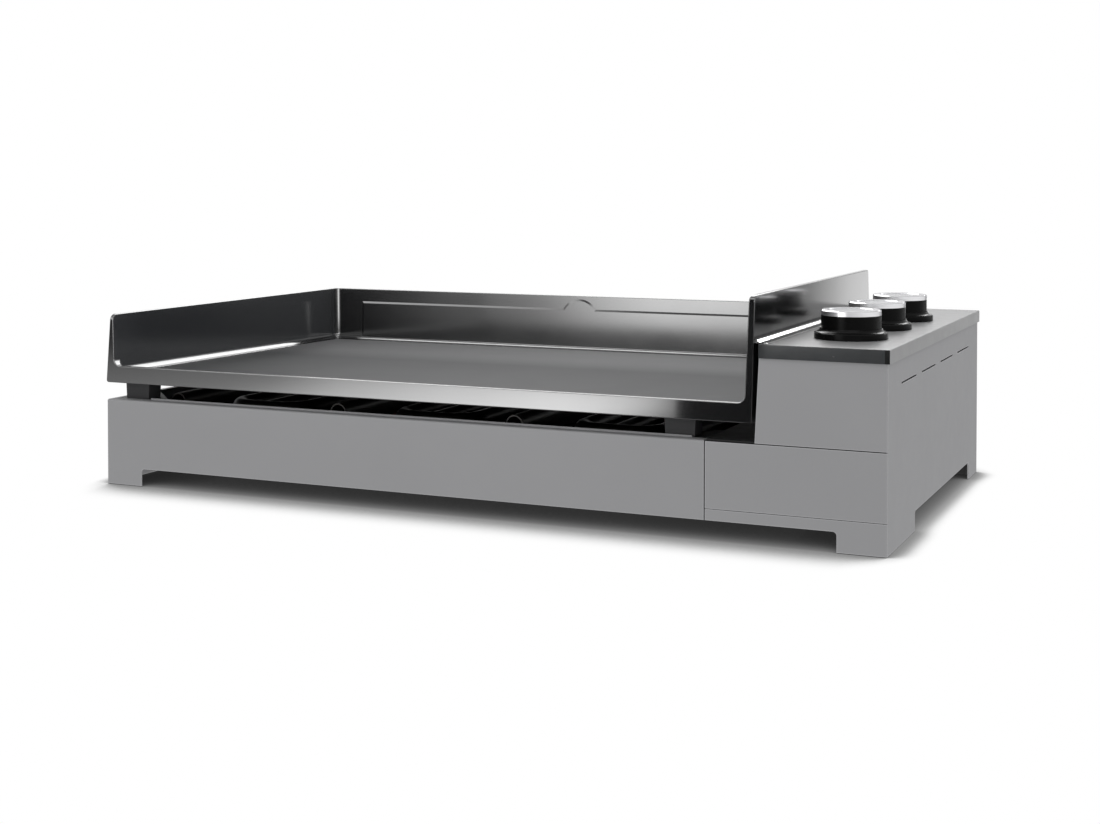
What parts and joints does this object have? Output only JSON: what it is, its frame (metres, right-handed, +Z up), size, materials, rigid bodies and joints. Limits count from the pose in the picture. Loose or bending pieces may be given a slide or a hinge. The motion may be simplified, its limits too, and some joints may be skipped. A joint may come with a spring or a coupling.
{
  "type": "table-top gas griddle",
  "caption": "Table-top gas griddle: a walled cast cooking plate over burners, a control housing with rotary knobs on its right and a grease drawer in front.",
  "frame": {"origin": "on the table under the middle of the overall box", "axes": "+X to the control side, +Y to the back, +Z up"},
  "size_m": [0.9114, 0.5072, 0.242],
  "materials": {
    "grey_powder_coat": "matte powder coat",
    "cap_grey": "satin powder coat",
    "dark_trim": "dark smoked strip",
    "inner_steel": "black coated sheet",
    "bright_steel": "stainless sheet",
    "burner_steel": "heat-darkened stainless tube",
    "sensor_steel": "drawn tube",
    "electrode_ceramic": "glazed",
    "brass": "turned",
    "pipe_aluminium": "drawn tube",
    "rail_steel": "zinc plated",
    "tap_alloy": "die cast",
    "igniter_plastic": "moulded",
    "lead_sleeve": "silicone sleeve",
    "bezel_black": "glossy",
    "glide_rubber": "matte",
    "screw_zinc": "zinc plated",
    "plate_enamel": "satin enamel",
    "knob_black": "glossy",
    "knob_aluminium": "brushed and anodised",
    "spindle_steel": "turned",
    "spring_steel": "drawn wire"
  },
  "bodies": {
    "chassis": {"front_panel": "grey_powder_coat", "left_side_panel": "grey_powder_coat", "right_side_panel": "grey_powder_coat", "back_panel": "grey_powder_coat", "lower_front_rail": "grey_powder_coat", "drawer_bay_deck": "grey_powder_coat", "housing_front_panel": "grey_powder_coat", "housing_left_panel": "grey_powder_coat", "control_cap": "cap_grey", "cap_front_trim": "dark_trim", "drawer_bay_divider": "inner_steel", "drawer_bay_floor": "inner_steel", "base_tray": "inner_steel", "corner_gussets": "inner_steel", "burner_rails": "inner_steel", "drawer_runners": "inner_steel", "gas_rail_brackets": "inner_steel", "cross_ribs": "bright_steel", "burner_left": "burner_steel", "burner_middle": "burner_steel", "burner_right": "burner_steel", "thermocouples": "sensor_steel", "spark_electrodes": "electrode_ceramic", "injectors": "brass", "gas_inlet": "brass", "feed_pipes": "pipe_aluminium", "gas_rail": "rail_steel", "gas_taps": "tap_alloy", "igniter_box": "igniter_plastic", "ignition_leads": "lead_sleeve", "knob_bezels": "bezel_black", "foot_glides": "glide_rubber", "back_screws": "screw_zinc"},
    "plate": {"griddle_plate": "plate_enamel", "plate_feet": "plate_enamel", "plate_drip_ledge": "bright_steel", "drain_spout": "bright_steel"},
    "drawer": {"drawer_front": "grey_powder_coat", "grease_tray": "bright_steel", "drawer_slides": "inner_steel"},
    "tap_plug_front": {"tap_plug_front": "brass"},
    "knob_front": {"spindle_front": "spindle_steel", "knob_body_front": "knob_black", "knob_cap_front": "knob_aluminium", "return_spring_front": "spring_steel"},
    "tap_plug_middle": {"tap_plug_middle": "brass"},
    "knob_middle": {"spindle_middle": "spindle_steel", "knob_body_middle": "knob_black", "knob_cap_middle": "knob_aluminium", "return_spring_middle": "spring_steel"},
    "tap_plug_rear": {"tap_plug_rear": "brass"},
    "knob_rear": {"spindle_rear": "spindle_steel", "knob_body_rear": "knob_black", "knob_cap_rear": "knob_aluminium", "return_spring_rear": "spring_steel"}
  },
  "joints": [
    {"name": "plate_lift", "type": "slide", "parent": "chassis", "child": "plate", "axis": [0, 0, 1], "range_m": [0, 0.12]},
    {"name": "drawer_pull", "type": "slide", "parent": "chassis", "child": "drawer", "axis": [0, -1, 0], "range_m": [0, 0.35]},
    {"name": "tap_turn_front", "type": "hinge", "parent": "chassis", "child": "tap_plug_front", "pos_m": [0.39548, -0.1564, 0.15], "axis": [0, 0, 1], "range_deg": [0, 210]},
    {"name": "knob_push_front", "type": "slide", "parent": "tap_plug_front", "child": "knob_front", "axis": [0, 0, -1], "range_m": [0, 0.003], "stiffness_N_per_m": 3000, "springref_m": -0.001, "deforming": ["return_spring_front"]},
    {"name": "tap_turn_middle", "type": "hinge", "parent": "chassis", "child": "tap_plug_middle", "pos_m": [0.39548, -0.0424, 0.15], "axis": [0, 0, 1], "range_deg": [0, 210]},
    {"name": "knob_push_middle", "type": "slide", "parent": "tap_plug_middle", "child": "knob_middle", "axis": [0, 0, -1], "range_m": [0, 0.003], "stiffness_N_per_m": 3000, "springref_m": -0.001, "deforming": ["return_spring_middle"]},
    {"name": "tap_turn_rear", "type": "hinge", "parent": "chassis", "child": "tap_plug_rear", "pos_m": [0.39548, 0.0716, 0.15], "axis": [0, 0, 1], "range_deg": [0, 210]},
    {"name": "knob_push_rear", "type": "slide", "parent": "tap_plug_rear", "child": "knob_rear", "axis": [0, 0, -1], "range_m": [0, 0.003], "stiffness_N_per_m": 3000, "springref_m": -0.001, "deforming": ["return_spring_rear"]}
  ]
}
